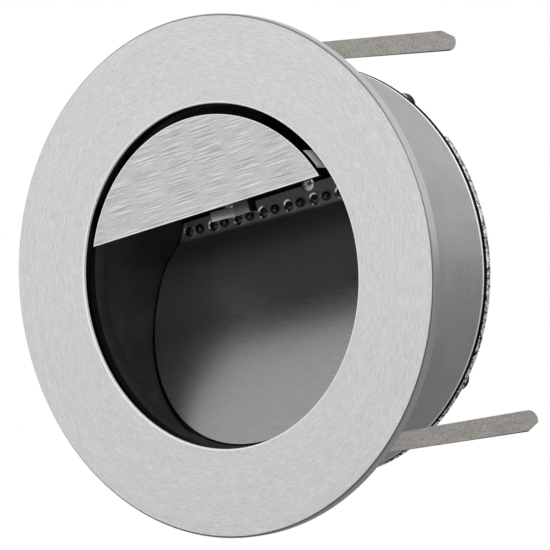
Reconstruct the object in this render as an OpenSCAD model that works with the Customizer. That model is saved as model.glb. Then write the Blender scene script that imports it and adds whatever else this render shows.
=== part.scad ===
// Round recessed wall light with a half-moon shade plate, a sloping reflector and leaf springs.
// The wall plane is y = 0, +Y goes into the wall and the light's axis is the Y axis.

/* [Bezel] */
// Outer diameter of the bezel ring
bezel_d = 150; // [148:1:170]
// Thickness of the bezel ring, in front of the wall
bezel_t = 3; // [2.4:0.1:4]
// Diameter of the round opening
opening_d = 99; // [99:0.5:101]
// Chamfer on the bezel's outer front edge
bezel_chamfer = 0.6; // [0.2:0.1:1]
// Chamfer on the edge of the opening
opening_chamfer = 0.25; // [0.1:0.05:0.5]
// Depth of the turned seat for the can in the bezel's back
can_seat = 0.4; // [0.2:0.1:0.8]

/* [Housing can] */
// Outer diameter of the can
can_d = 121.7; // [121:0.1:123]
// Wall of the can
can_wall = 1.2; // [0.8:0.1:1.3]
// Depth of the can behind the wall plane
can_depth = 43.4; // [42:0.1:50]
// Thickness of the can's rear flange
rear_flange_t = 2; // [1.6:0.1:3]
// Width of the can's rear flange, inwards from the wall
rear_flange_w = 6.2; // [6:0.1:6.6]
// Width of the weld seam along the can
seam_w = 1.6; // [1:0.1:3]

/* [Seal and liner] */
// Thickness of the front seal
seal_t = 3; // [2:0.1:4]
// Inner diameter of the front seal
seal_d = 100.4; // [99.8:0.1:102]
// Depth of the liner's front lip
lip_t = 2.7; // [2:0.1:3.5]
// Inner diameter of the liner's front lip
lip_d = 98; // [97.4:0.1:98.6]
// Inner diameter of the liner behind its lip
liner_d = 100; // [99.4:0.1:101]
// Inner diameter of the liner at its rear end
liner_rear_d = 97.4; // [97:0.1:98]
// Wall of the liner
liner_wall = 1.5; // [1:0.1:2]

/* [Reflector] */
// Thickness of the reflector sheet
sheet_t = 0.8; // [0.5:0.1:1]
// Slope of the reflector's lower stretch
slope_low = 62.8; // [60:0.1:65]
// Slope of the reflector at its upper fold
slope_high = 42; // [40:1:48]
// Radius of the curve below the upper fold
curve_r = 34; // [25:1:40]
// Inside radius of the upper fold
fold_r = 1.5; // [1:0.1:2]
// Height of the reflector's rear flange above the LED row
flange_rise = 22; // [18:1:24]
// Turn of the light insert about the axis
insert_turn = 2.2; // [0:0.1:4]

/* [LED row] */
// Height of the LED row above the axis
led_row_z = 20.3; // [19.8:0.1:21.4]
// Number of LED pairs in the row
led_pairs = 9; // [5:2:9]
// Distance from one pair to the next
pair_pitch = 9.6; // [8:0.1:9.7]
// Distance between the two LEDs of a pair
led_pitch = 4.3; // [4:0.1:4.6]
// Diameter of a lens dome
lens_d = 2.5; // [2:0.1:2.9]
// Outer diameter of a lens collar
collar_d = 3.4; // [3.2:0.1:3.7]
// Diameter of the smaller LED in each pair
emitter_d = 2.2; // [2:0.1:2.8]
// How far a lens stands out of the rear flange
lens_rise = 2.2; // [1.6:0.1:3]
// Thickness of the LED board
board_t = 1.9; // [1:0.1:2.2]
// Height of the LED board
board_h = 11; // [9:0.5:14]
// Place of the middle board screw along the row
board_screw_x = 6.2; // [5:0.1:8]
// Distance from one board screw to the next
board_screw_pitch = 30; // [26:1:31]
// Head diameter of the board screws
board_screw_head = 3.9; // [3.2:0.1:4.2]

/* [Shade plate] */
// Diameter of the half-moon plate's round edge
plate_d = 92.6; // [88:0.1:94]
// Thickness of the half-moon plate
plate_t = 1.6; // [1:0.1:2]
// Height of the plate's straight edge above the axis
plate_chord_z = 18.95; // [17:0.05:22]
// Angle of the ears from the top
ear_angle = 57.5; // [50:0.5:58]
// Width of an ear
ear_w = 6.4; // [5:0.1:8]
// Depth of the ears' offset behind the wall plane
ear_depth = 7; // [6.4:0.1:9]
// Sheet of the ears and the bracket
ear_t = 0.8; // [0.6:0.1:1]
// Width of the bracket behind the plate
bracket_w = 12.7; // [10:0.1:15]
// Sideways place of the bracket's middle
bracket_x = 1.4; // [0:0.1:3]
// Depth of the bracket's tab behind the bezel's back
bracket_y = 10; // [7:0.5:14]
// Height of the tab's lower edge above the axis
bracket_low_z = 17; // [15:0.5:18]
// Height of the tab
bracket_h = 9; // [7:0.5:11]
// Height of the bracket's fixing flange
bracket_leg_h = 6; // [4:0.5:8]
// Height of the tab's folded left half
bracket_flap_h = 2.8; // [2:0.1:4]
// Fold of the tab's left half
bracket_fold = 24; // [10:1:35]

/* [Rear] */
// Thickness of the rear cover
cover_t = 1.1; // [1:0.1:2.5]
// Thickness of the cast rear plate
rear_plate_t = 2; // [1.5:0.1:4]
// Height of the rear plate's straight top edge
rear_plate_top = 27; // [24:0.5:30]
// How far the rear plate stands past the can
rear_plate_over = 0.35; // [0:0.05:0.5]
// Clearance between the posts and the can's wall
post_room = 0.05; // [0.05:0.05:0.3]
// Diameter of the posts
post_d = 5; // [4.4:0.1:5]
// Turn of the four posts from the diagonals
post_turn = 1.2; // [0:0.1:3]
// Thread diameter of studs and cover screws
thread_d = 3; // [2.5:0.1:3.2]
// Head diameter of the cover screws
cover_head_d = 7.4; // [6:0.1:7.4]
// Head height of the cover screws
cover_head_h = 3.4; // [2:0.1:4]
// Length of the threaded engagement at each end of a post
thread_length = 7; // [5:0.5:10]

/* [Springs] */
// Angle of the springs from the vertical plane
spring_phi = 26.6; // [24:0.1:28]
// Distance from the can's side to the middle of a spring's root
spring_off = 3.1; // [3.1:0.1:4]
// Width of a blade at its root
blade_root_w = 5; // [4:0.1:5.4]
// Width of a blade at its tip
blade_tip_w = 6.2; // [5:0.1:6.4]
// Thickness of the spring strip
blade_t = 0.7; // [0.5:0.05:0.9]
// Reach of the blade tips behind the wall plane
blade_reach = 67.4; // [60:0.2:75]
// Outward lean of the free blades
blade_lean = 17.8; // [12:0.1:20]
// Length of the cut at a blade's tip
tip_cut = 4.5; // [3:0.5:7]
// Angle of the cut at a blade's tip
tip_cut_angle = 27; // [10:1:35]
// Length of a spring's foot
foot_l = 12; // [10:0.5:12.5]
// Diameter of a spring rivet
rivet_d = 1.8; // [1.4:0.1:2.2]
// Head height of a spring rivet
rivet_head_h = 0.7; // [0.5:0.1:0.8]

/* [Cable gland] */
// Thread diameter of the gland
gland_d = 16; // [14:0.5:18]
// Width across the flats of the gland
gland_flats = 20; // [19.5:0.5:21]
// Diameter of the cable hole in the gland's seal
cable_d = 8.4; // [6:0.1:9]
// Length of the gland's cap
gland_cap_l = 12; // [10:0.5:14]
// Sideways place of the gland
gland_x = -26; // [-28:0.5:-25]
// Height of the gland
gland_z = -2; // [-6:0.5:0]

/* [Driver and terminals] */
// Width of the LED driver
driver_w = 54; // [44:1:55]
// Height of the LED driver
driver_h = 18; // [14:0.5:18]
// Depth of the LED driver
driver_depth = 18; // [14:0.5:19]
// Height of the driver's lower face
driver_z = -38; // [-38.5:0.5:-37]
// Number of poles of the terminal block
poles = 3; // [2:1:3]
// Width of one pole
pole_w = 9; // [8:0.5:9.5]
// Height of the terminal block
block_h = 12; // [10:0.5:13]
// Depth of the terminal block
block_depth = 12; // [10:0.5:13]
// Diameter of the inner wires
wire_d = 1.4; // [1:0.1:1.5]

/* [Hidden] */
$fn = 96;
// Running and fitting clearances
fit = 0.1;
gap = 0.3;
eps = 0.01;

bezel_r = bezel_d / 2;
opening_r = opening_d / 2;
can_r = can_d / 2;
bore_r = can_r - can_wall;
lip_r = lip_d / 2;
lip_y = seal_t;
lip_back = seal_t + lip_t;
liner_r = liner_d / 2;
liner_rear_r = liner_rear_d / 2;
liner_end = can_depth - gap;
rim_r = bore_r - 2 * fit;
cover_back = can_depth + cover_t;
rear_back = cover_back + rear_plate_t;
flange_front = can_depth - rear_flange_t;

post_angles = [for (i = [0:3]) 45 + 90 * i + post_turn];
post_hole_d = thread_d + 2 * fit;
post_circle_r = bore_r - post_room - post_d / 2;

board_back = can_depth - fit;
board_front = board_back - board_t;
sheet_front = board_front - sheet_t;
fold_z = led_row_z - collar_d / 2 - fit;
// The sheet's slope starts level with the lip's front, where the round lip cuts it off
sheet_run = sheet_front - lip_y;
curve_end = curve_r * [sin(slope_low) - sin(slope_high), cos(slope_high) - cos(slope_low)];
fold_end = fold_r * [1 - sin(slope_high), cos(slope_high)];
flat_l = (sheet_run - curve_end.x - fold_end.x) / cos(slope_low);
flat_end = flat_l * [cos(slope_low), sin(slope_low)];
sheet_foot = [lip_y, fold_z - flat_end.y - curve_end.y - fold_end.y];

// The row is centred on the middle pair, and each pair's left LED sits in a collar
pair_x = [for (i = [0:led_pairs - 1]) (i - (led_pairs - 1) / 2) * pair_pitch];
board_low = led_row_z - collar_d / 2 - 2 * gap;
board_screws_x = [for (i = [-1:1]) board_screw_x + i * board_screw_pitch];
board_screw_z = led_row_z + (collar_d + board_screw_head) / 2 + 4 * gap;
board_screw_d = 2;
board_screw_h = 0.9;
collar_rise = 0.7;
emitter_rise = lens_rise - 0.4;

plate_r = plate_d / 2;
plate_back = -bezel_t + plate_t;
ear_in = 5;
ear_joggle = 2.2;
ear_end = 7;
ear_wall_r = liner_at(ear_depth + ear_joggle + ear_end) - fit;
ear_span = 2 * asin(ear_w / 2 / plate_r);
ear_rivet_y = ear_depth + ear_joggle + ear_end / 2;
bracket_top_z = bracket_low_z + bracket_h;
bracket_leg_z = bracket_top_z + bracket_leg_h;
pad_t = 1.2;
pad_lap = 1.8;

spring_r = can_r + spring_off;
spring_x = spring_r * sin(spring_phi);
spring_z = spring_r * cos(spring_phi);
bend_r = 1;
// The feet lie in pockets, so that nothing stands proud of the bezel's back
pocket = blade_t + rivet_head_h + fit;
bend_out = bend_r + blade_t;
bend_turn = 90 + blade_lean;
blade_from = [bend_out * (1 - sin(bend_turn)), bend_out * (1 - cos(bend_turn)) - pocket];
blade_l = (blade_reach - blade_from.y) / cos(blade_lean);
rivet_reach = 0.9;
rivet_head_d = 3.4;
ear_rivet_reach = 1.2;
ear_rivet_head_d = 2.8;
ear_rivet_head_h = 0.5;
// The flat head rests on the hollow side of the ear
ear_rivet_seat = sqrt(pow(ear_wall_r - ear_t, 2) - pow(ear_rivet_head_d / 2, 2));

gland_hex_h = 3.5;
gland_nut_t = 3.6;
gland_bore_d = cable_d + 0.8;
gland_seal_wall = 1.6;
gland_nose_wall = 2;
gland_stub = gland_nut_t + 0.6;
gland_cap_flats = gland_flats - 1;
gland_nose_d = gland_bore_d + 2 * gland_nose_wall;
gland_cap_lip = 1.5;

cover_hole_end = cover_back - 2 * fit;
gasket_t = 1.4;
gasket_d = 0.8;

driver_front = can_depth - driver_depth;
driver_top = driver_z + driver_h;
driver_rim = 1.5;
filling_depth = 0.8;
lug_w = 5;
lug_t = 2;
lug_head_d = 4.6;
lug_head_h = 1.6;

block_w = poles * pole_w;
block_x = 4;
block_gap = 4;
block_z = driver_top + block_gap;
block_front = can_depth - block_depth;
well_d = 5;
well_depth = 6;
wire_way_y = block_front + well_depth + 2.6;
wire_way_d = 3.2;
groove_w = 0.8;
groove_depth = 2;
// The leads rise beside the block, and the earth screw sits on its other side
lead_pitch = 2 * wire_d;
lead_x = block_x + block_w / 2 + wire_d;
earth_head_d = 5.4;
earth_head_h = 2;
earth_x = block_x - block_w / 2 - earth_head_d / 2 - 1;
earth_z = block_z + earth_head_d / 2;

// Helpers

// Revolve a profile drawn as [radius, depth] about the light's axis
module turned(points) {
    rotate([-90, 0, 0])
        rotate_extrude($fn = 180)
            polygon(points);
}

// A round bar along +Y from one depth to another
module bar(d, from, to, fn = 48) {
    translate([0, from, 0])
        rotate([-90, 0, 0])
            cylinder(d = d, h = to - from, $fn = fn);
}

// Place children at an angle from the top and a distance from the axis
module at(angle, r) {
    rotate([0, angle, 0])
        translate([0, 0, r])
            children();
}

// Extrude a profile drawn as [depth, height] across the light, centred on x = 0
module across(width) {
    rotate([90, 0, 90])
        linear_extrude(width, center = true)
            children();
}

// A block with rounded corners seen from the front, by width, height and radius
module rounded(w, h, r) {
    square([w - 2 * r, h], center = true);
    square([w, h - 2 * r], center = true);
    for (x = [-1, 1], y = [-1, 1])
        translate([x * (w / 2 - r), y * (h / 2 - r)])
            circle(r, $fn = 32);
}

// Extrude a front view drawn as [x, z] from one depth to another
module slab(from, to) {
    translate([0, to, 0])
        rotate([90, 0, 0])
            linear_extrude(to - from)
                children();
}

// Inner radius of the liner at a depth
function liner_at(y) = liner_r + (liner_rear_r - liner_r) * (y - lip_back) / (liner_end - lip_back);

// Points of a bend that starts at p and turns from angle a to angle b
function bend(p, a, b, r, n) = [
    for (i = [0:n]) let (t = a + (b - a) * i / n) p + sign(b - a) * r * [sin(t) - sin(a), cos(a) - cos(t)]
];

// Direction across a path at point i, to its rear side
function across_path(p, i) =
    let (d = p[min(i + 1, len(p) - 1)] - p[max(i - 1, 0)]) [d.y, -d.x] / norm(d);

// A path thickened to its rear side
function thick(p, t) = concat(p, [for (i = [len(p) - 1:-1:0]) p[i] + t * across_path(p, i)]);

// Front

module bezel_ring() {
    color("gainsboro")
        difference() {
            union() {
                turned([
                    [opening_r, -can_seat],
                    [opening_r, opening_chamfer - bezel_t],
                    [opening_r + opening_chamfer, -bezel_t],
                    [bezel_r - bezel_chamfer, -bezel_t],
                    [bezel_r, bezel_chamfer - bezel_t],
                    [bezel_r, 0],
                    [can_r + 2 * fit, 0],
                    [can_r + 2 * fit, -can_seat]
                ]);
                for (angle = post_angles)
                    at(angle, post_circle_r)
                        bar(thread_d, -can_seat - eps, lip_back + thread_length);
            }
            each_spring() {
                slab(-pocket, 1)
                    foot_outline(gap);
                foot_rivets()
                    bar(rivet_d, -pocket - rivet_reach, 1, 32);
            }
        }
}

module front_seal() {
    color("black")
        difference() {
            turned([[seal_d / 2, -can_seat], [rim_r, -can_seat], [rim_r, seal_t], [seal_d / 2, seal_t]]);
            for (angle = post_angles)
                at(angle, post_circle_r)
                    bar(post_hole_d, -1, seal_t + 1);
        }
}

module inner_liner() {
    color("dimgray")
        difference() {
            turned([
                [lip_r, lip_y],
                [rim_r, lip_y],
                [rim_r, lip_back],
                [liner_r + liner_wall, lip_back],
                [liner_rear_r + liner_wall, liner_end],
                [liner_rear_r, liner_end],
                [liner_r, lip_back],
                [lip_r, lip_back]
            ]);
            for (angle = post_angles)
                at(angle, post_circle_r)
                    bar(post_hole_d, lip_y - 1, lip_back + 1);
            for (side = [-1, 1])
                at(side * ear_angle, ear_wall_r - ear_t)
                    translate([0, ear_rivet_y, 0])
                        cylinder(d = rivet_d, h = ear_t + ear_rivet_reach, $fn = 32);
        }
}

module housing_can() {
    color("silver")
        difference() {
            union() {
                turned([
                    [bore_r, -can_seat],
                    [can_r, -can_seat],
                    [can_r, can_depth - 0.4],
                    [can_r - 0.4, can_depth],
                    [bore_r - rear_flange_w, can_depth],
                    [bore_r - rear_flange_w, flange_front],
                    [bore_r, flange_front]
                ]);
                // The seam is a low flat bead along the side
                rotate([0, 100, 0])
                    translate([-seam_w / 2, 0, can_r - can_wall / 2])
                        cube([seam_w, can_depth - 1, can_wall / 2 + 0.1]);
            }
            for (angle = post_angles)
                at(angle, post_circle_r)
                    bar(post_hole_d, flange_front - 1, can_depth + 1);
            gasket_ring(fit, can_depth + 1);
        }
}

module tie_posts() {
    color("silver")
        for (angle = post_angles)
            at(angle, post_circle_r)
                difference() {
                    bar(post_d, lip_back, flange_front);
                    bar(post_hole_d, lip_back - 1, lip_back + thread_length + gap);
                    bar(post_hole_d, flange_front - thread_length - gap, flange_front + 1);
                }
}

// Light insert

module in_insert() {
    rotate([0, insert_turn, 0])
        children();
}

module reflector() {
    curve = bend(sheet_foot + flat_end, slope_low, slope_high, curve_r, 14);
    fold = bend(sheet_foot + flat_end + curve_end, slope_high, 90, fold_r, 6);
    path = concat([sheet_foot], curve, fold, [[sheet_front, led_row_z + flange_rise]]);
    color("lightgray")
        intersection() {
            in_insert()
                difference() {
                    across(liner_d)
                        polygon(thick(path, sheet_t));
                    led_places()
                        bar(lens_d + 2 * fit, sheet_front - 1, board_front + 1, 32);
                    emitter_places()
                        bar(emitter_d + 2 * fit, sheet_front - 1, board_front + 1, 32);
                    board_screw_places()
                        bar(board_screw_d + 2 * fit, sheet_front - 1, board_front + 1, 32);
                }
            turned([
                [0, lip_y],
                [lip_r - gap, lip_y],
                [lip_r - gap, lip_back + gap],
                [liner_at(lip_back) - gap, lip_back + gap],
                [liner_at(board_front) - gap, board_front + eps],
                [0, board_front + eps]
            ]);
        }
}

module led_places() {
    for (x = pair_x)
        translate([x - led_pitch / 2, 0, led_row_z])
            children();
}

module emitter_places() {
    for (x = pair_x)
        translate([x + led_pitch / 2, 0, led_row_z])
            children();
}

module board_screw_places() {
    for (x = board_screws_x)
        translate([x, 0, board_screw_z])
            children();
}

module led_board() {
    color("darkgreen")
        intersection() {
            in_insert()
                difference() {
                    slab(board_front, board_back)
                        translate([0, board_low + board_h / 2])
                            rounded(liner_rear_d, board_h, 1);
                    board_screw_places()
                        bar(board_screw_d + 2 * fit, board_front - 1, board_back + 1, 32);
                }
            bar(liner_rear_d - 3 * gap, board_front - 1, board_back + 1, 180);
        }
}

// A round-headed LED standing on the board
module dome(d, rise) {
    bar(d, sheet_front - rise + d / 2, board_front, 32);
    translate([0, sheet_front - rise + d / 2, 0])
        sphere(d = d, $fn = 24);
}

module led_lenses() {
    color("aliceblue")
        in_insert()
            led_places()
                dome(lens_d, lens_rise);
}

module led_collars() {
    color("white")
        in_insert()
            led_places()
                difference() {
                    bar(collar_d, sheet_front - collar_rise, sheet_front, 32);
                    bar(lens_d + 2 * fit, sheet_front - collar_rise - 1, sheet_front + 1, 32);
                }
}

module led_emitters() {
    color("khaki")
        in_insert()
            emitter_places()
                dome(emitter_d, emitter_rise);
}

module board_screws() {
    color("silver")
        in_insert()
            board_screw_places()
                difference() {
                    union() {
                        bar(board_screw_d, sheet_front - eps, cover_hole_end - fit, 32);
                        bar(board_screw_head, sheet_front - board_screw_h, sheet_front, 32);
                        translate([0, sheet_front - board_screw_h, 0])
                            rotate([90, 0, 0])
                                cylinder(
                                    d1 = board_screw_head, d2 = 0.6 * board_screw_head, h = 0.6, $fn = 32
                                );
                    }
                    slab(sheet_front - 2, sheet_front - 0.8 * board_screw_h)
                        cross_slot(0.62 * board_screw_head, 0.5);
                }
}

// The front view of a cross recess
module cross_slot(l, w) {
    square([l, w], center = true);
    square([w, l], center = true);
}

// Shade

module shade_plate() {
    color("gainsboro")
        union() {
            slab(-bezel_t, plate_back)
                intersection() {
                    circle(plate_r, $fn = 180);
                    translate([-plate_r, plate_chord_z])
                        square([plate_d, plate_r]);
                }
            for (side = [-1, 1])
                rotate([0, side * ear_angle, 0])
                    difference() {
                        ear();
                        translate([0, ear_rivet_y, ear_wall_r - 2 * ear_t])
                            cylinder(d = rivet_d + 2 * fit, h = 3 * ear_t, $fn = 32);
                    }
        }
}

// An ear runs straight back from the plate's rim and steps out to the liner's wall
module ear() {
    bottom = ear_depth + ear_joggle;
    rotate([-90, 0, 0])
        rotate([0, 0, -90 - ear_span / 2])
            rotate_extrude(angle = ear_span, $fn = 180)
                polygon([
                    [plate_r - ear_in, plate_back - eps],
                    [plate_r, plate_back - eps],
                    [plate_r, ear_depth],
                    [ear_wall_r, bottom],
                    [ear_wall_r, bottom + ear_end],
                    [ear_wall_r - ear_t, bottom + ear_end],
                    [ear_wall_r - ear_t, bottom + ear_t / 2],
                    [plate_r - ear_t, ear_depth + ear_t / 2],
                    [plate_r - ear_t, plate_back + ear_t],
                    [plate_r - ear_in, plate_back + ear_t]
                ]);
}

module shade_rivets() {
    color("silver")
        for (side = [-1, 1])
            at(side * ear_angle, ear_rivet_seat)
                translate([0, ear_rivet_y, 0]) {
                    cylinder(d = rivet_d, h = ear_wall_r - ear_rivet_seat + ear_rivet_reach, $fn = 32);
                    translate([0, 0, -ear_rivet_head_h])
                        cylinder(d1 = rivet_d, d2 = ear_rivet_head_d, h = ear_rivet_head_h, $fn = 32);
                }
}

module shade_bracket() {
    half = bracket_w / 2;
    leg = [
        [plate_back, bracket_top_z],
        [plate_back, bracket_leg_z],
        [plate_back + ear_t, bracket_leg_z],
        [plate_back + ear_t, bracket_top_z + ear_t],
        [bracket_y, bracket_top_z + ear_t],
        [bracket_y, bracket_top_z]
    ];
    color("gray")
        translate([bracket_x, 0, 0]) {
            across(bracket_w)
                polygon(leg);
            // The tab hangs from the leg's rear edge, and its low left half is folded forwards
            translate([0, bracket_y - ear_t, bracket_low_z])
                cube([half, ear_t, bracket_top_z + ear_t - bracket_low_z]);
            translate([0, 0, bracket_low_z])
                linear_extrude(bracket_flap_h)
                    polygon([
                        [eps, bracket_y],
                        [eps, bracket_y - ear_t],
                        [-half, bracket_y - ear_t - half * tan(bracket_fold)],
                        [-half, bracket_y - half * tan(bracket_fold)]
                    ]);
        }
}

module bracket_pad() {
    color("black")
        translate([bracket_x + bracket_w / 2, bracket_y - pad_lap, bracket_low_z])
            cube([pad_t, pad_lap + gap, bracket_top_z - bracket_low_z]);
}

// Rear

// The gasket, or with room round it and a higher top its groove
module gasket_ring(room, top) {
    inner = bore_r - rear_flange_w + gasket_t / 2 - room;
    outer = inner + gasket_t + 2 * room;
    turned([
        [inner, can_depth - gasket_d],
        [outer, can_depth - gasket_d],
        [outer, top],
        [inner, top]
    ]);
}

module rear_gasket() {
    color("black")
        gasket_ring(0, can_depth);
}

module rear_cover() {
    color([0.1, 0.1, 0.1])
        difference() {
            turned([[0, can_depth], [can_r, can_depth], [can_r, cover_back], [0, cover_back]]);
            for (angle = post_angles)
                at(angle, post_circle_r)
                    bar(post_hole_d, can_depth - 1, cover_back + 1);
            at_gland()
                bar(gland_d + 2 * fit, can_depth - 1, cover_back + 1);
            in_insert()
                board_screw_places()
                    bar(board_screw_d + 2 * fit, can_depth - 1, cover_hole_end, 32);
            lug_places()
                bar(post_hole_d, can_depth - 1, cover_hole_end, 32);
            earth_place()
                bar(post_hole_d, can_depth - 1, cover_hole_end, 32);
        }
}

module rear_plate() {
    r = can_r + rear_plate_over;
    color("darkgray")
        difference() {
            turned([
                [0, cover_back],
                [r, cover_back],
                [r, rear_back - 0.5],
                [r - 0.5, rear_back],
                [0, rear_back]
            ]);
            translate([-bezel_r, cover_back - 1, rear_plate_top])
                cube([bezel_d, rear_plate_t + 2, bezel_r]);
            for (angle = [post_angles[1], post_angles[2]])
                at(angle, post_circle_r)
                    bar(post_hole_d, cover_back - 1, rear_back + 1);
            at_gland()
                bar(gland_d + 2 * fit, cover_back - 1, rear_back + 1);
        }
}

// Above the plate's straight edge, washers as thick as the plate bring the heads level
module screw_washers() {
    color("silver")
        for (angle = [post_angles[0], post_angles[3]])
            at(angle, post_circle_r)
                difference() {
                    bar(cover_head_d, cover_back, rear_back);
                    bar(post_hole_d, cover_back - 1, rear_back + 1, 32);
                }
}

module cover_screws() {
    color([0.08, 0.08, 0.08])
        for (angle = post_angles)
            at(angle, post_circle_r)
                pan_screw(rear_back, thread_d, flange_front - thread_length, cover_head_d, cover_head_h);
}

// A domed screw whose head sits at a depth and whose thread runs forwards to another
module pan_screw(seat, d, tip, head_d, head_h) {
    wall = 0.35 * head_h;
    crown = [for (a = [0:15:75]) [head_d / 2 * cos(a), wall + (head_h - wall) * sin(a)]];
    difference() {
        union() {
            bar(d, tip, seat + eps, 32);
            translate([0, seat, 0])
                rotate([-90, 0, 0])
                    rotate_extrude($fn = 48)
                        polygon(concat([[0, 0], [head_d / 2, 0]], crown, [[0, head_h]]));
        }
        slab(seat + 0.5 * head_h, seat + head_h + 1)
            cross_slot(0.5 * head_d, 0.13 * head_d);
    }
}

// Springs

// Mirror children to the four spring places
module each_spring() {
    for (side = [-1, 1], height = [-1, 1])
        spring_at(side, height)
            children();
}

module spring_at(side, height) {
    mirror([side < 0 ? 1 : 0, 0, 0])
        mirror([0, 0, height < 0 ? 1 : 0])
            translate([spring_x, 0, spring_z])
                children();
}

module foot_rivets() {
    for (share = [0.42, 0.82])
        translate([share * foot_l, 0, 0])
            children();
}

// Front view of a foot, with room round it
module foot_outline(room) {
    translate([-room, -blade_root_w / 2 - room])
        square([foot_l + 2 * room, blade_root_w + 2 * room]);
}

// The foot lies in its pocket and turns up into the blade's root
module spring_foot(side, height) {
    color("silver")
        spring_at(side, height)
            translate([0, -pocket, -blade_root_w / 2])
                difference() {
                    union() {
                        translate([bend_out, 0, 0])
                            cube([foot_l - bend_out, blade_t, blade_root_w]);
                        translate([bend_out, bend_out, 0])
                            rotate([0, 0, -90 - bend_turn])
                                rotate_extrude(angle = bend_turn, $fn = 64)
                                    translate([bend_r, 0])
                                        square([blade_t, blade_root_w]);
                    }
                    translate([0, 0, blade_root_w / 2])
                        foot_rivets()
                            bar(rivet_d + 2 * fit, -1, 2, 32);
                }
}

// The blade starts just past the foot's bend and leans outwards
module spring_blade(side, height) {
    color("silver")
        spring_at(side, height)
            translate([blade_from.x, blade_from.y, 0])
                rotate([0, 0, -blade_lean])
                    rotate([90, 0, 90])
                        linear_extrude(blade_t)
                            blade_outline();
}

// Side view of a blade: its tip is round towards the axis and cut off on the outside
module blade_outline() {
    half = blade_tip_w / 2;
    neck = blade_l - half;
    difference() {
        union() {
            polygon([
                [gap, -blade_root_w / 2],
                [neck, -half],
                [neck, half],
                [gap, blade_root_w / 2]
            ]);
            intersection() {
                translate([neck, 0])
                    circle(half, $fn = 48);
                translate([neck - eps, -half])
                    square([half + 1, blade_tip_w]);
            }
        }
        translate([blade_l - tip_cut, half])
            rotate(-tip_cut_angle)
                translate([-1, 0])
                    square([2 * blade_tip_w, half]);
    }
}

module spring_rivets() {
    color("silver")
        each_spring()
            translate([0, -pocket, 0])
                foot_rivets() {
                    bar(rivet_d, -rivet_reach, blade_t + eps, 32);
                    translate([0, blade_t, 0])
                        rotate([-90, 0, 0])
                            cylinder(
                                d1 = rivet_head_d, d2 = 0.6 * rivet_head_d, h = rivet_head_h, $fn = 32
                            );
                }
}

// Cable gland

module at_gland() {
    translate([gland_x, 0, gland_z])
        children();
}

// A six-sided bar along Y, by its width across the flats
module hex_bar(flats, from, to) {
    bar(flats / cos(30), from, to, 6);
}

module gland_body() {
    color([0.15, 0.15, 0.15])
        at_gland()
            difference() {
                union() {
                    bar(gland_d, can_depth - gland_stub, rear_back + eps);
                    hex_bar(gland_flats, rear_back, rear_back + gland_hex_h);
                }
                bar(gland_bore_d, can_depth - gland_stub - 1, rear_back + gland_hex_h + 1);
            }
}

module gland_nut() {
    color([0.15, 0.15, 0.15])
        at_gland()
            difference() {
                hex_bar(gland_flats, can_depth - gland_nut_t, can_depth);
                bar(gland_d + 2 * fit, can_depth - gland_nut_t - 1, can_depth + 1);
            }
}

module gland_cap() {
    from = rear_back + gland_hex_h;
    seal_r = cable_d / 2 + gland_seal_wall + fit;
    color([0.15, 0.15, 0.15])
        at_gland()
            difference() {
                union() {
                    hex_bar(gland_cap_flats, from, from + 0.5 * gland_cap_l);
                    translate([0, from + 0.5 * gland_cap_l - eps, 0])
                        rotate([-90, 0, 0])
                            cylinder(d1 = gland_cap_flats, d2 = gland_nose_d, h = 0.5 * gland_cap_l);
                }
                bar(2 * seal_r, from - 1, from + gland_cap_l - gland_cap_lip);
                bar(gland_bore_d, from, from + gland_cap_l + 1);
            }
}

module gland_seal() {
    from = rear_back + gland_hex_h;
    color("black")
        at_gland()
            difference() {
                bar(cable_d + 2 * gland_seal_wall, from, from + gland_cap_l - gland_cap_lip);
                bar(cable_d, from - 1, from + gland_cap_l);
            }
}

// Driver and terminals

module lug_places() {
    for (side = [-1, 1])
        translate([side * (driver_w + lug_w) / 2, 0, driver_z + driver_h / 2])
            children();
}

module led_driver() {
    color("whitesmoke")
        difference() {
            union() {
                slab(driver_front, can_depth)
                    translate([0, driver_z + driver_h / 2])
                        rounded(driver_w, driver_h, 2);
                lug_places()
                    slab(can_depth - lug_t, can_depth)
                        rounded(lug_w + 2 * eps, 2 * lug_w, 0.4);
            }
            lug_places()
                bar(post_hole_d, can_depth - lug_t - 1, can_depth + 1);
            // The filling sits a little below the case's rim
            slab(driver_front - 1, driver_front + filling_depth)
                translate([0, driver_z + driver_h / 2])
                    rounded(driver_w - 2 * driver_rim, driver_h - 2 * driver_rim, 1);
        }
}

module driver_screws() {
    color("silver")
        lug_places()
            front_screw(can_depth - lug_t, thread_d, cover_hole_end - fit, lug_head_d, lug_head_h);
}

// A pan screw that is driven from the front, by its seat and the end of its thread
module front_screw(seat, d, end, head_d, head_h) {
    difference() {
        union() {
            bar(d, seat - eps, end, 32);
            bar(head_d, seat - 0.5 * head_h, seat, 32);
            translate([0, seat - 0.5 * head_h, 0])
                rotate([90, 0, 0])
                    cylinder(d1 = head_d, d2 = 0.6 * head_d, h = 0.5 * head_h, $fn = 32);
        }
        slab(seat - head_h - 1, seat - 0.5 * head_h)
            cross_slot(0.55 * head_d, 0.15 * head_d);
    }
}

module pole_places() {
    for (i = [0:poles - 1])
        translate([block_x + (i - (poles - 1) / 2) * pole_w, 0, block_z + block_h / 2])
            children();
}

module terminal_block() {
    color("ivory")
        difference() {
            slab(block_front, can_depth)
                translate([block_x, block_z + block_h / 2])
                    rounded(block_w, block_h, 0.8);
            // A screw well, a wire way and a parting groove for each pole
            pole_places()
                bar(well_d, block_front - 1, block_front + well_depth, 32);
            pole_places()
                translate([0, wire_way_y, -block_h])
                    cylinder(d = wire_way_d, h = 2 * block_h, $fn = 32);
            for (i = [1:poles - 1])
                translate([block_x + (i - poles / 2) * pole_w - groove_w / 2, block_front - 1, block_z - 1])
                    cube([groove_w, 1 + groove_depth, block_h + 2]);
        }
}

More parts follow.
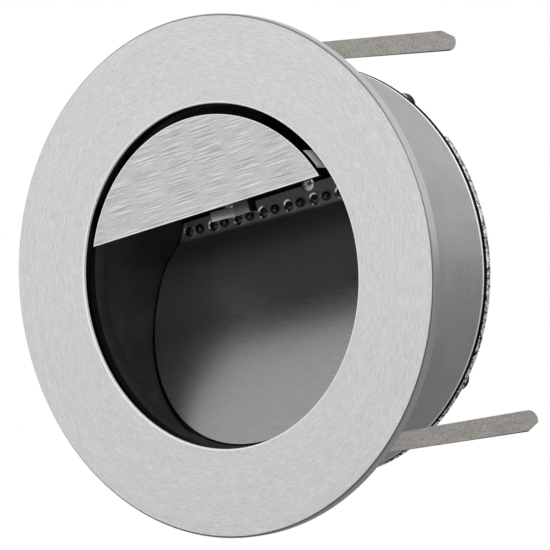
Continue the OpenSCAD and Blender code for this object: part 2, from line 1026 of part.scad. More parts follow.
module terminal_screws() {
    top = block_front + well_depth / 3;
    color("goldenrod")
        pole_places()
            difference() {
                bar(well_d - 2 * fit, top, block_front + well_depth, 32);
                slab(top - 1, top + 1)
                    square([well_d, 0.8], center = true);
            }
}

// The driver's two wires run into the block's outer poles and seat against their wire ways
module driver_leads() {
    color("saddlebrown")
        for (side = [-1, 1])
            translate([
                block_x + side * pole_w * (poles - 1) / 2,
                wire_way_y + (wire_way_d - wire_d) / 2,
                driver_top
            ])
                cylinder(d = wire_d, h = block_z - driver_top + block_h / 3, $fn = 24);
}

module led_leads() {
    color("firebrick")
        for (i = [0, 1])
            translate([lead_x + i * lead_pitch, can_depth - wire_d / 2 - fit, driver_top])
                cylinder(d = wire_d, h = lead_end(lead_x + i * lead_pitch) - driver_top, $fn = 24);
}

// Height of the turned board's lower edge at a sideways place
function lead_end(x) = (board_low - x * sin(insert_turn)) / cos(insert_turn) - gap;

module earth_place() {
    translate([earth_x, 0, earth_z])
        children();
}

module earth_screw() {
    color("goldenrod")
        earth_place()
            front_screw(can_depth, thread_d, cover_hole_end - fit, earth_head_d, earth_head_h);
}

bezel_ring();
front_seal();
housing_can();
inner_liner();
tie_posts();
reflector();
led_board();
led_lenses();
led_collars();
led_emitters();
board_screws();
shade_plate();
shade_rivets();
shade_bracket();
bracket_pad();
rear_gasket();
rear_cover();
rear_plate();
screw_washers();
cover_screws();
spring_foot(1, 1);  // spring_foot_upper_right
spring_foot(1, -1);  // spring_foot_lower_right
spring_foot(-1, 1);  // spring_foot_upper_left
spring_foot(-1, -1);  // spring_foot_lower_left
spring_blade(1, 1);  // spring_blade_upper_right
spring_blade(1, -1);  // spring_blade_lower_right
spring_blade(-1, 1);  // spring_blade_upper_left
spring_blade(-1, -1);  // spring_blade_lower_left
spring_rivets();
gland_body();
gland_cap();
gland_nut();
gland_seal();
led_driver();
driver_screws();
terminal_block();
terminal_screws();
driver_leads();
led_leads();
earth_screw();
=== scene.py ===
import math

import bmesh
import bpy
from bpy.props import FloatProperty, FloatVectorProperty, IntProperty, PointerProperty
from mathutils import Matrix, Vector, noise


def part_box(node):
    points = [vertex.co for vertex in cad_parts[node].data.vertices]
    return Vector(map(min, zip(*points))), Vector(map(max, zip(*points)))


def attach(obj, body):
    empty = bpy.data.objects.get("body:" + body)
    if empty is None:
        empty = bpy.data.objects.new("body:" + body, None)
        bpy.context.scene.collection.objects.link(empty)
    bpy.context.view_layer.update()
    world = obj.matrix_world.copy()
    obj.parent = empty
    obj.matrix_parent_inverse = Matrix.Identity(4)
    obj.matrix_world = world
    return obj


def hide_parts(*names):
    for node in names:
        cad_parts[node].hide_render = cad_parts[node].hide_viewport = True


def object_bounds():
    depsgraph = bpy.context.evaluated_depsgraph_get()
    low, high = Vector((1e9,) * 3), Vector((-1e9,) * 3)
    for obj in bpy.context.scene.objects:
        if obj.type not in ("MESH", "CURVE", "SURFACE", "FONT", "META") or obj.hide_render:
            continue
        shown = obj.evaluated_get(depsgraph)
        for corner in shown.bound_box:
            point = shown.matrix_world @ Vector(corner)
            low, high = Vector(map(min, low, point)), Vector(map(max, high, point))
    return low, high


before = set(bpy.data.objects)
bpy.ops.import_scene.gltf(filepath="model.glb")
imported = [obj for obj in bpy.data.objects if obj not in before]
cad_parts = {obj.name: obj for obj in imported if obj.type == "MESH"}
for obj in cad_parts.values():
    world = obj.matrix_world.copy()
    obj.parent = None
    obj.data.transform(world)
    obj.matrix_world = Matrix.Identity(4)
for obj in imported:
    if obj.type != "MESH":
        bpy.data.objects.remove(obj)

bl_info = {
    "name": "Recessed Wall Light",
    "version": (1, 0, 0),
    "blender": (4, 5, 0),
    "location": "View3D > Sidebar > Wall Light",
    "description": "Finishes, small pieces and stage of a round recessed wall light",
    "category": "Add Mesh",
}

MM = 0.001
CAD_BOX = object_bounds()
FRONT, OUTER = CAD_BOX[0][1], CAD_BOX[1][0]
LAMP = "lamp"
SPRINGS = ("upper_right", "lower_right", "upper_left", "lower_left")

# The way that a head faces along Y
TO_FRONT, TO_REAR = -1.0, 1.0
# A mask starts this far inside an outline, so that it takes in the whole face
HAIR = 0.03 * MM
# The radius at which a turn about the axis counts as a length
ARC = 0.06
# Turns of a surface from which its edge is crisp: on a head or dome, and on sheet
ROUND_CRISP, SHEET_CRISP = math.radians(35), math.radians(50)
BLACK_OXIDE = (0.003, 0.003, 0.003)


def millimetres(name, description, default):
    """A length that the sidebar shows in the scene's unit."""
    return FloatProperty(
        name=name, description=description, default=default * MM, min=0, unit="LENGTH", precision=5
    )


def tint(name, description, default):
    """A colour for one finish."""
    return FloatVectorProperty(
        name=name, description=description, default=default, size=3, min=0, max=1, subtype="COLOR"
    )


def share(name, description, default, low=0, high=1):
    """A part of a whole."""
    return FloatProperty(
        name=name, description=description, default=default, min=low, max=high, subtype="FACTOR"
    )


class WallLightMetals(bpy.types.PropertyGroup):
    """Colours, line widths and edge widths of the metal finishes."""

    bezel: tint("Bezel", "Colour of the turned ring", (0.65, 0.645, 0.665))
    # Chamfer and Outline are painted shade: a darker band on the ring's front outer edge, darkest on
    # its inner side
    chamfer: tint("Chamfer", "Colour of the ring's chamfer", (0.38, 0.38, 0.39))
    outline: tint("Outline", "Colour of the dark line at the chamfer's inner side", (0.19, 0.19, 0.195))
    # Glint is a painted highlight on the edges of the ring's opening, the shade plate and the can's
    # rear
    painted_glint: tint("Glint", "Colour of a bright bare edge", (0.97, 0.97, 0.98))
    plate: tint("Plate", "Colour of the shade plate", (0.56, 0.56, 0.57))
    # Ear is painted light: the plate's ears are pale and matt so that they look lit
    ear: tint("Ear", "Colour of the shade plate's bare ears", (0.98, 0.98, 0.97))
    reflector: tint("Reflector", "Colour of the reflector sheet", (0.31, 0.307, 0.313))
    can: tint("Can", "Colour of the housing can", (0.42, 0.416, 0.43))
    casting: tint("Casting", "Colour of the rough rear plate", (0.55, 0.55, 0.56))
    spring: tint("Springs", "Colour of the spring steel", (0.36, 0.342, 0.32))
    bracket: tint("Bracket", "Colour of the bracket", (0.34, 0.34, 0.36))
    liner: tint("Liner", "Colour of the dark liner", (0.03, 0.03, 0.035))
    # Seal is also painted shade: this black is painted on the ring's opening wall, the plate's round
    # side wall and the reflector
    seal: tint("Seal", "Colour of the rubber seal and of blackened steel", (0.006, 0.006, 0.006))
    # Side is painted shade: the ring's side wall is a darker copy of the ring's colour
    side: share("Side", "Brightness of the ring's side wall", 0.75)
    grain: millimetres("Grain", "Width of a turning line on the ring", 0.34)
    brush: millimetres("Brushing", "Width of a brushing line on plate, bracket and reflector", 0.1)
    # The bright and dark edges based on this width are painted highlights and painted shade
    edge: millimetres("Edge", "Width on which those of the bright and dark edges are based", 0.25)
    # Painted shade along the lower edge of the right-hand spring blades
    painted_shade_edge: millimetres("Burr", "Width of the springs' dark sheared edge", 0.3)


class WallLightLeds(bpy.types.PropertyGroup):
    """Colours and sizes of the LED row."""

    lens_tint: tint("Lens colour", "Colour of the clear domes over a dark cup", (0.01, 0.01, 0.011))
    emitter_tint: tint("Emitter colour", "Colour of the smoky domes", (0.008, 0.007, 0.006))
    collar_tint: tint("Collar colour", "Colour of the bright collars", (0.90, 0.90, 0.92))
    lens: millimetres("Lens", "Diameter of a dome in a collar", 3.0)
    emitter: millimetres("Emitter", "Diameter of a bare dome", 2.85)
    collar: millimetres("Collar", "Diameter of a collar", 3.8)
    lens_rise: millimetres("Lens rise", "Height of a dome in a collar", 0.85)
    lip: millimetres("Collar lip", "Width of a collar's front edge", 0.05)
    cup: share("Cup", "Depth of a collar's cup as a share of its rise", 0.3, 0.1, 0.9)


class WallLightFixings(bpy.types.PropertyGroup):
    """Sizes of the heads of screws and rivets, the washers' band and softened edges."""

    recess: share("Recess", "Length of a cross recess as a share of the head", 0.5, 0.2, 0.8)
    cover_head: millimetres("Cover screw", "Height of a cover screw's head", 3.4)
    board_head: millimetres("Board screw", "Height of a board screw's head", 1.4)
    board_width: millimetres("Board screw width", "Diameter of a board screw's head", 5.0)
    washer: millimetres("Washer", "Depth of the washers' bare band", 0.7)
    flat: FloatProperty(
        name="Flat", description="Area from which a face of a softened sheet stays flat",
        default=8e-6, unit="AREA", precision=6
    )
    rivet_head: millimetres("Rivet head", "Height of a spring rivet's head", 0.6)
    edge: millimetres("Edge", "Softening of a sheet's edges", 0.12)
    seed: IntProperty(name="Seed", description="Turn of the screws", default=4, min=0)


class WallLightRear(bpy.types.PropertyGroup):
    """Surface of the rear casting."""

    roughness: millimetres("Cast roughness", "Depth of the rough cast surface", 0.16)
    voxel: millimetres("Cast detail", "Size of the casting's smallest form", 0.5)
    rim: millimetres("Rim", "Width of the sharply grained rim", 1.5)


class WallLightStage(bpy.types.PropertyGroup):
    """Floor, light and camera."""

    floor: FloatProperty(
        name="Floor", description="Height of the floor", default=-0.26, unit="LENGTH", precision=4
    )
    lens: FloatProperty(
        name="Lens", description="Focal length in millimetres", default=254.74, min=20
    )
    key: FloatProperty(
        name="Key", description="Power of the large soft lamp", default=15, min=0, unit="POWER"
    )
    side: FloatProperty(
        name="Side", description="Power of the small lamp behind", default=0.3, min=0, unit="POWER"
    )
    ambient: share("Ambient", "Strength of the sky's soft light", 0.45)


class Signal:
    """A node's output that can be used in plain sums."""

    def __init__(self, wiring, socket):
        self.wiring = wiring
        self.socket = socket

    def sum(self, operation, *values):
        """The Math node of an operation on the values."""
        return self.wiring.node("ShaderNodeMath", {"operation": operation}, dict(enumerate(values)))

    def __add__(self, other):
        return self.sum("ADD", self, other)

    def __sub__(self, other):
        return self.sum("SUBTRACT", self, other)

    def __rsub__(self, other):
        return self.sum("SUBTRACT", other, self)

    def __mul__(self, other):
        return self.sum("MULTIPLY", self, other)

    def __truediv__(self, other):
        return self.sum("DIVIDE", self, other)

    def __rtruediv__(self, other):
        return self.sum("DIVIDE", other, self)

    def __pow__(self, other):
        return self.sum("POWER", self, other)

    def __rpow__(self, other):
        return self.sum("POWER", other, self)

    def __gt__(self, other):
        return self.sum("GREATER_THAN", self, other)

    def __lt__(self, other):
        return self.sum("LESS_THAN", self, other)

    __radd__ = __add__
    __rmul__ = __mul__

    def within(self, low, high):
        """The value stretched so that low becomes 0 and high becomes 1, and held between them."""
        values = {"Value": self, "From Min": low, "From Max": high}
        return self.wiring.node("ShaderNodeMapRange", {"clamp": True}, values)


class Wiring:
    """Adds nodes and links to one node tree."""

    def __init__(self, tree):
        self.tree = tree

    def node(self, kind, settings=None, values=None, out=0):
        """A node with its settings, then its sockets' values or links. Gives one output, if any."""
        made = self.tree.nodes.new(kind)
        for name, value in (settings or {}).items():
            setattr(made, name, value)
        for key, value in (values or {}).items():
            self.put(made.inputs[key], value)
        return Signal(self, made.outputs[out]) if made.outputs else None

    def put(self, socket, value):
        """Links a signal, or a list of them, to a socket, or sets the socket's own value."""
        if isinstance(value, list):
            for signal in reversed(value):
                self.put(socket, signal)
        elif isinstance(value, Signal):
            self.tree.links.new(value.socket, socket)
        else:
            socket.default_value = value

    def vector(self, x=0.0, y=0.0, z=0.0):
        """Three values as one vector."""
        return self.node("ShaderNodeCombineXYZ", None, {"X": x, "Y": y, "Z": z})

    def split(self, vector):
        """One vector as three values."""
        first = self.node("ShaderNodeSeparateXYZ", None, {0: vector})
        return [Signal(self, output) for output in first.socket.node.outputs]


class Finish(Wiring):
    """A material that is built round one Principled shader."""

    def __init__(self, name, colour, **constants):
        self.material = bpy.data.materials.new(name)
        self.material.use_nodes = True
        super().__init__(self.material.node_tree)
        self.shader = self.tree.nodes["Principled BSDF"]
        self.colour = (*colour, 1)
        self.set("Base Color", self.colour)
        for socket, value in constants.items():
            self.set(socket.replace("_", " "), value)

    def set(self, socket, value):
        """Sets or links one of the shader's sockets."""
        self.put(self.shader.inputs[socket], value)

    def fed(self, socket):
        """The signal that one of the shader's sockets gets so far."""
        return Signal(self, self.shader.inputs[socket].links[0].from_socket)

    def place(self):
        """The point in the light's own frame, in metres, as one vector."""
        return self.node("ShaderNodeTexCoord", None, None, "Object")

    def coordinates(self):
        """The point's X, Y and Z."""
        return self.split(self.place())

    def polar(self):
        """Distance from the light's axis, depth, and angle about the axis."""
        x, y, z = self.coordinates()
        return (x * x + z * z) ** 0.5, y, x.sum("ARCTAN2", x, z)

    def noise(self, vector, scale, detail=3, roughness=0.6):
        """Smooth random values from 0 to 1. The scale is their number in one unit of the vector."""
        return self.node(
            "ShaderNodeTexNoise", {"noise_dimensions": "3D"},
            {"Vector": vector, "Scale": scale, "Detail": detail, "Roughness": roughness}
        )

    def mix(self, factor, one, other):
        """A colour between two colours: the Mix node's sockets 6 and 7 and its output 2."""
        values = {0: factor, 6: one, 7: other}
        return self.node("ShaderNodeMix", {"data_type": "RGBA"}, values, 2)

    def shade(self, factor, low, high):
        """The finish's own colour, times a value from low to high."""
        dark, light = [(*[min(1, c * times) for c in self.colour[:3]], 1) for times in (low, high)]
        return self.mix(factor, dark, light)

    def dull(self, signal, amount):
        """Adds up to an amount to the shader's roughness where a random value is high."""
        least = self.shader.inputs["Roughness"].default_value
        self.set("Roughness", signal.within(0.3, 0.7) * amount + least)

    def bump(self, height, depth):
        """Turns a height from 0 to 1 into the shader's normal, with its depth in millimetres."""
        values = {"Distance": depth * MM, "Height": height}
        self.set("Normal", self.node("ShaderNodeBump", None, values))


def wear_and_painted_light(finish, mask, colour):
    """Turns the colour to another one where a mask is 1: real marks, and painted light and shade."""
    finish.set("Base Color", finish.mix(mask, finish.fed("Base Color"), (*colour, 1)))


def darker(colour, part):
    """A part of a colour's brightness."""
    return [c * part for c in colour]


def points(node):
    """Every vertex place of a CAD node."""
    return [v.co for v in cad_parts[node].data.vertices]


def axis_distance(point):
    """Distance of a point from the light's axis."""
    return math.hypot(point.x, point.z)


def scratched(finish, along, across, width, depth, spread, reach, speckle=0.1, wide=0.16):
    """Brushing lines: long along one coordinate and fine across the other.

    The spread is their change in brightness, and the reach their length in widths. Speckle and
    wide are the shares of short marks and of broad lines among the fine ones.
    """
    fine = finish.noise(finish.vector(across / width, along / (reach * width)), 1, 3, 0.7)
    broad = finish.noise(finish.vector(across / (7 * width), along / (90 * width)), 1, 2, 0.6)
    speck = finish.noise(finish.vector(across / width, along / width), 1.3, 2, 0.6)
    lines = fine * (1 - speckle - wide) + broad * wide + speck * speckle
    finish.set("Base Color", finish.shade(lines.within(0.36, 0.64), 1 - spread, 1 + spread))
    finish.dull(lines, 0.08)
    finish.bump(fine, depth)


def turned_steel(metals):
    """Fine turned rings; the side wall and the chamfer darker as painted shade, the lip white as a
    painted highlight, and the inside black as painted shade.
    """
    finish = Finish("turned_steel", metals.bezel, Metallic=1.0, Roughness=0.3)
    radius, depth, angle = finish.polar()
    scratched(
        finish, angle * ARC, radius, metals.grain,
        depth=0.006, spread=0.26, reach=9, speckle=0.5, wide=0.08
    )
    opening = min(map(axis_distance, points("bezel_ring")))
    chamfer, outline, lip = [widths * metals.edge for widths in (2.3, 1.1, 1.8)]
    chamfer_back, lip_back = [FRONT + widths * metals.edge for widths in (2.5, 4)]
    # Painted shade: the side wall is a darker copy of the ring's colour
    wear_and_painted_light(finish, radius > OUTER - HAIR, darker(metals.bezel, metals.side))
    # Painted shade: a darker band on the front outer edge, darker still along its inner side
    rim = (radius > OUTER - chamfer) * (radius < OUTER - HAIR) * (depth < chamfer_back)
    wear_and_painted_light(finish, rim, metals.chamfer)
    wear_and_painted_light(finish, rim * (radius < OUTER - outline), metals.outline)
    # Painted highlight: the lip round the opening is white and not metal
    bright = (radius < opening + lip) * (depth < lip_back)
    wear_and_painted_light(finish, bright, metals.painted_glint)
    finish.set("Metallic", 1 - bright)
    # Painted shade: the opening's wall behind the lip is black
    wear_and_painted_light(finish, (radius < opening + 2 * HAIR) * (depth > lip_back), metals.seal)
    return finish.material


def straight_edge():
    """Left and right end of the shade plate's straight edge."""
    plate = points("shade_plate")
    front = min(p.y for p in plate) + 0.1 * MM
    face = [p for p in plate if p.y < front]
    return min(face, key=lambda p: p.x), max(face, key=lambda p: p.x)


def along_edge(finish):
    """Coordinates along the shade plate's straight edge and above it, and the depth."""
    left, right = straight_edge()
    run = (right - left).normalized()
    x, y, z = finish.coordinates()
    along = x * run.x + z * run.z
    above = z * run.x - x * run.z - (left.z * run.x - left.x * run.z)
    return along, above, y


def sheet_steel(name, colour, width, roughness, **marks):
    """Sheet steel brushed along the shade plate's straight edge, with the marks of scratched()."""
    finish = Finish(name, colour, Metallic=1.0, Roughness=roughness)
    along, above, depth = along_edge(finish)
    # The depth counts too, so that a part that is bent back has its lines as well
    scratched(finish, along, above + depth * 0.7, width, **marks)
    return finish


def plate_steel(metals):
    """The shade plate: strong lines, painted highlights on its edges, painted shade on the face under
    its straight edge and on its round side wall, and ears made pale and matt as painted light.
    """
    reach = 120
    finish = sheet_steel(
        "plate_steel", metals.plate, metals.brush, 0.3,
        depth=0.004, spread=0.62, reach=reach, speckle=0, wide=0
    )
    along, above, depth = along_edge(finish)
    radius = finish.polar()[0]
    left = straight_edge()[0]
    outer = axis_distance(left)
    across = above / (1.6 * metals.brush)
    deep = finish.noise(finish.vector(across, along / (reach * metals.brush)), 1, 1)
    wear_and_painted_light(finish, deep.within(0.64, 0.76) * 0.5, darker(metals.plate, 0.35))
    # Painted highlight along the straight edge and the round edge
    edge = (above < metals.edge) + (radius > outer - metals.edge * 0.7)
    wear_and_painted_light(finish, edge.within(0, 1), metals.painted_glint)
    # Painted shade on the face under the straight edge
    wear_and_painted_light(finish, above < HAIR, darker(metals.plate, 0.2))
    ear_start = left.y + 2 * MM
    ear = depth > ear_start
    # Painted shade: the round side wall is black, except on the ears
    wear_and_painted_light(finish, (radius > outer - HAIR) * (depth > FRONT + metals.edge) * (1 - ear), metals.seal)
    # Painted light: the ears are pale and not metal, so that they look lit
    wear_and_painted_light(finish, ear, metals.ear)
    finish.set("Metallic", 1 - ear)
    return finish.material


def reflector_steel(metals):
    """Polished sheet, duller towards its fold, with a painted shadow above the LED row and painted
    shade along its outline.
    """
    finish = sheet_steel(
        "reflector_steel", metals.reflector, metals.brush, 0.24,
        depth=0.003, spread=0.16, reach=60, speckle=0.04
    )
    finish.set("Metallic", 0.97)
    sheet = points("reflector")
    front, rear = [corner.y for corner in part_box("reflector")]
    near, far = [
        max(axis_distance(p) for p in sheet if abs(p.y - end) < 0.3 * MM) for end in (front, rear)
    ]
    radius, depth, _ = finish.polar()
    z = finish.coordinates()[2]
    row_foot, row_top = [corner.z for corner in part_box("led_collars")]
    dull_start, dull_end = row_foot - 26 * MM, row_foot + 2 * MM
    # Painted shadow of the shade plate's straight edge: the sheet is black above the LED row
    painted_shadow_start, painted_shadow_end = row_top + 1.1 * MM, row_top + 1.4 * MM
    finish.set("Roughness", finish.fed("Roughness") + z.within(dull_start, dull_end) * 0.28)
    wear_and_painted_light(finish, z.within(painted_shadow_start, painted_shadow_end), metals.seal)
    # Painted shade: the sheet is black along its outer edge beside the liner
    outline = (depth - front) * ((far - near) / (rear - front)) + near
    wear_and_painted_light(finish, radius > outline - metals.edge, metals.seal)
    return finish.material


def strip_steel(metals):
    """Dull spring strip with a speckled skin, and painted shade along the lower edge of the right-hand
    blades.
    """
    finish = Finish("strip_steel", metals.spring, Metallic=1.0, Roughness=0.36)
    x, y, z = finish.coordinates()
    speck = finish.noise(finish.place(), 1900, 2, 0.7)
    drawn = finish.noise(finish.vector(x * 700, y * 60, z * 700), 1, 2, 0.6)
    skin = speck * 0.75 + drawn * 0.25
    finish.set("Base Color", finish.shade(skin.within(0.38, 0.62), 0.74, 1.26))
    finish.dull(speck, 0.12)
    finish.bump(skin, 0.006)
    # Painted shade: a dark band along the lower edge of each right-hand blade
    for name in ("upper_right", "lower_right"):
        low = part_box("spring_blade_" + name)[0].z
        wear_and_painted_light(finish, (z > low - metals.painted_shade_edge) * (z < low + metals.painted_shade_edge), darker(metals.spring, 0.25))
    return finish.material


def can_aluminium(metals):
    """Matt aluminium, spun and blasted, with a painted highlight along its rear edge."""
    finish = Finish("can_aluminium", metals.can, Metallic=1.0, Roughness=0.48)
    radius, depth, angle = finish.polar()
    place = finish.vector(depth, angle * ARC, radius)
    rings = finish.noise(finish.vector(depth * 2600, angle * 3, radius * 900), 1, 2, 0.6)
    blast = finish.noise(place, 1700, 2, 0.7)
    cloud = finish.noise(place, 90, 3, 0.5)
    grain = rings * 0.35 + blast * 0.65
    patches = grain * 0.7 + cloud * 0.3
    finish.set("Base Color", finish.shade(patches.within(0.34, 0.66), 0.86, 1.14))
    finish.dull(grain, 0.1)
    finish.bump(grain, 0.01)
    # Painted highlight along the rear edge
    wear_and_painted_light(finish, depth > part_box("housing_can")[1].y - 4.5 * metals.edge, metals.painted_glint)
    return finish.material


def cast_metal(metals, rim):
    """Rough cast plate with grains and pores, plainest inside and high on the rim; elsewhere on the rim
    they are painted shadows and highlights, from near black to bright.
    """
    finish = Finish("cast_metal", metals.casting, Metallic=0.8)
    place = finish.place()
    grains = finish.noise(place, 1500, 2, 0.6)
    pores = finish.noise(place, 760, 2, 0.5)
    skin = grains * 0.45 + pores * 0.55
    inside = finish.polar()[0] < max(map(axis_distance, points("rear_plate"))) - rim
    high = finish.coordinates()[2].within(-20 * MM, 30 * MM)
    # Real grain with painted shadows and highlights: near black to bright on the rim
    strong = finish.shade(skin.within(0.43, 0.55), 0.02, 1.7)
    plain = finish.shade(skin.within(0.36, 0.62), 0.35, 1.15)
    finish.set("Base Color", finish.mix(inside.sum("MAXIMUM", inside, high * 0.6), strong, plain))
    finish.set("Roughness", grains.within(0.35, 0.65) * 0.3 + 0.35)
    finish.bump(skin, 0.2)
    return finish.material


def dark_coat(name, colour, roughness=0.35, gloss=0.18):
    """Dark satin coat on metal."""
    finish = Finish(name, colour, Roughness=roughness, Specular_IOR_Level=gloss)
    place = finish.place()
    dust = finish.noise(place, 140, 3, 0.6)
    finish.set("Base Color", finish.shade(dust.within(0.35, 0.7), 0.85, 1.25))
    finish.dull(dust, 0.12)
    finish.bump(finish.noise(place, 1800, 2, 0.6), 0.01)
    return finish.material


def moulded(name, colour, roughness, gloss=0.4):
    """Moulded plastic or rubber with a fine matt grain."""
    finish = Finish(name, colour, Roughness=roughness, Specular_IOR_Level=gloss)
    place = finish.place()
    skin = finish.noise(place, 2400, 2, 0.6)
    flow = finish.noise(place, 160, 2, 0.5)
    finish.set("Base Color", finish.shade((skin * 0.4 + flow * 0.6).within(0.3, 0.7), 0.9, 1.12))
    finish.dull(skin, 0.12)
    finish.bump(skin, 0.015)
    return finish.material


def washer_steel(fixings):
    """Blackened washers with a bare band beside the cover."""
    finish = Finish("washer_steel", (0.008, 0.008, 0.008), Roughness=0.4, Specular_IOR_Level=0.2)
    skin = finish.noise(finish.place(), 1500, 2, 0.6)
    finish.set("Base Color", finish.shade(skin, 0.8, 1.2))
    band = finish.coordinates()[1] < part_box("screw_washers")[0].y + fixings.washer
    wear_and_painted_light(finish, band, (0.85, 0.85, 0.86))
    finish.set("Metallic", band * 0.7)
    finish.bump(skin, 0.01)
    return finish.material


def bright_metal(name, colour, roughness=0.2):
    """Plated or bare small metal pieces with a few handling marks."""
    finish = Finish(name, colour, Metallic=1.0, Roughness=roughness)
    marks = finish.noise(finish.place(), 900, 3, 0.65)
    finish.set("Base Color", finish.shade(marks.within(0.35, 0.7), 0.86, 1.08))
    finish.dull(marks, 0.16)
    finish.bump(marks, 0.006)
    return finish.material


def clear_dome(name, colour):
    """Cast resin of an unlit LED: glossy over a dark cup, with a slight haze."""
    finish = Finish(name, colour, Roughness=0.06, IOR=1.5, Coat_Weight=0.5)
    haze = finish.noise(finish.place(), 1300, 2, 0.5)
    finish.set("Base Color", finish.shade(haze.within(0.3, 0.7), 0.7, 1.6))
    finish.dull(haze, 0.08)
    finish.bump(haze, 0.004)
    return finish.material


def solder_mask():
    """Green board with copper tracks under its coat."""
    finish = Finish("solder_mask", (0.03, 0.11, 0.05), Roughness=0.35)
    height = finish.coordinates()[2] * 900
    stripe = height.sum("PINGPONG", height, 1.0) > 0.62
    track = stripe * (finish.noise(finish.place(), 210) > 0.5)
    finish.set("Base Color", finish.shade(track, 0.9, 1.7))
    finish.bump(track, 0.02)
    return finish.material


def placed(name, data):
    """A new object in the scene."""
    item = bpy.data.objects.new(name, data)
    bpy.context.scene.collection.objects.link(item)
    return item


def piece_from(name, mesh, material, body, node):
    """Gives a finished piece its material, puts it on its body, and lets it stand for a CAD node."""
    piece = placed(name, mesh)
    mesh.materials.clear()
    mesh.materials.append(material)
    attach(piece, body)
    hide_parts(node)


def dress(material, *nodes):
    """Gives CAD nodes a finish."""
    for node in nodes:
        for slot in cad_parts[node].material_slots:
            slot.material = material


def merged_copy(node):
    """A copy of a CAD node's shape with its vertices merged."""
    shape = bmesh.new()
    shape.from_mesh(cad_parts[node].data)
    bmesh.ops.remove_doubles(shape, verts=shape.verts, dist=1e-6)
    return shape


def mesh_from(name, shape):
    """A new mesh from a shape, which is then let go."""
    mesh = bpy.data.meshes.new(name)
    shape.to_mesh(mesh)
    shape.free()
    return mesh


def frozen(holder):
    """The plain mesh of an object with a live modifier. The object is then removed."""
    bpy.context.view_layer.update()
    live = holder.evaluated_get(bpy.context.evaluated_depsgraph_get())
    mesh = bpy.data.meshes.new_from_object(live)
    holder.modifiers.clear()
    bpy.data.objects.remove(holder)
    return mesh


def solids(node):
    """Lowest and highest corner of each separate solid of a CAD node."""
    shape = merged_copy(node)
    left = set(shape.verts)
    boxes = []
    while left:
        front = [left.pop()]
        low, high = front[0].co.copy(), front[0].co.copy()
        while front:
            vertex = front.pop()
            for axis in range(3):
                low[axis] = min(low[axis], vertex.co[axis])
                high[axis] = max(high[axis], vertex.co[axis])
            for edge in vertex.link_edges:
                other = edge.other_vert(vertex)
                if other in left:
                    left.remove(other)
                    front.append(other)
        boxes.append((low, high))
    shape.free()
    return sorted(boxes, key=lambda box: (round(box[0].x, 6), round(box[0].z, 6)))


def middles(boxes, depth):
    """The middle of each box, at one depth."""
    return [((low.x + high.x) / 2, depth, (low.z + high.z) / 2) for low, high in boxes]


def crease(shape, angle):
    """Keeps an edge crisp where the surface turns by more than an angle."""
    for edge in shape.edges:
        edge.smooth = len(edge.link_faces) == 2 and edge.calc_face_angle() < angle


def rounded(mesh):
    """Smooth faces with crisp edges, for heads and domes."""
    shape = bmesh.new()
    shape.from_mesh(mesh)
    for face in shape.faces:
        face.smooth = True
    crease(shape, ROUND_CRISP)
    shape.to_mesh(mesh)
    shape.free()


def softened(node, width, material, body):
    """Stands for a sheet node, with its sharp edges rounded."""
    shape = merged_copy(node)
    bmesh.ops.dissolve_limit(
        shape, angle_limit=math.radians(1), use_dissolve_boundaries=False,
        verts=shape.verts, edges=shape.edges
    )
    sharp = [
        edge for edge in shape.edges
        if len(edge.link_faces) == 2 and edge.calc_face_angle() > SHEET_CRISP
    ]
    bmesh.ops.bevel(
        shape, geom=sharp, offset=width, segments=2, profile=0.5, affect="EDGES", clamp_overlap=True
    )
    flats = bpy.context.scene.wall_light_fixings.flat
    for face in shape.faces:
        face.smooth = face.calc_area() < flats
    crease(shape, SHEET_CRISP)
    bmesh.ops.triangulate(shape, faces=shape.faces)
    name = "soft_" + node
    piece_from(name, mesh_from(name, shape), material, body, node)


def rough_casting(node, rear, material):
    """Stands for the cast plate: remade in small faces and sunk unevenly, never raised."""
    holder = placed("casting_block", mesh_from("casting_block", merged_copy(node)))
    remesh = holder.modifiers.new("cast", "REMESH")
    remesh.mode = "VOXEL"
    remesh.voxel_size = rear.voxel
    cast = frozen(holder)
    low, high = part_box(node)
    coarse, fine = 420, 1100
    sunk = []
    for vertex in cast.vertices:
        lumps = noise.noise(vertex.co * coarse) * 0.6 + noise.noise(vertex.co * fine) * 0.4
        sunk.append(vertex.co - vertex.normal * rear.roughness * (0.55 + 0.45 * lumps))
    for vertex, place in zip(cast.vertices, sunk):
        vertex.co = [min(max(place[i], low[i]), high[i]) for i in range(3)]
    for face in cast.polygons:
        face.use_smooth = True
    cast.name = "rough_" + node
    piece_from("rough_" + node, cast, material, LAMP, node)


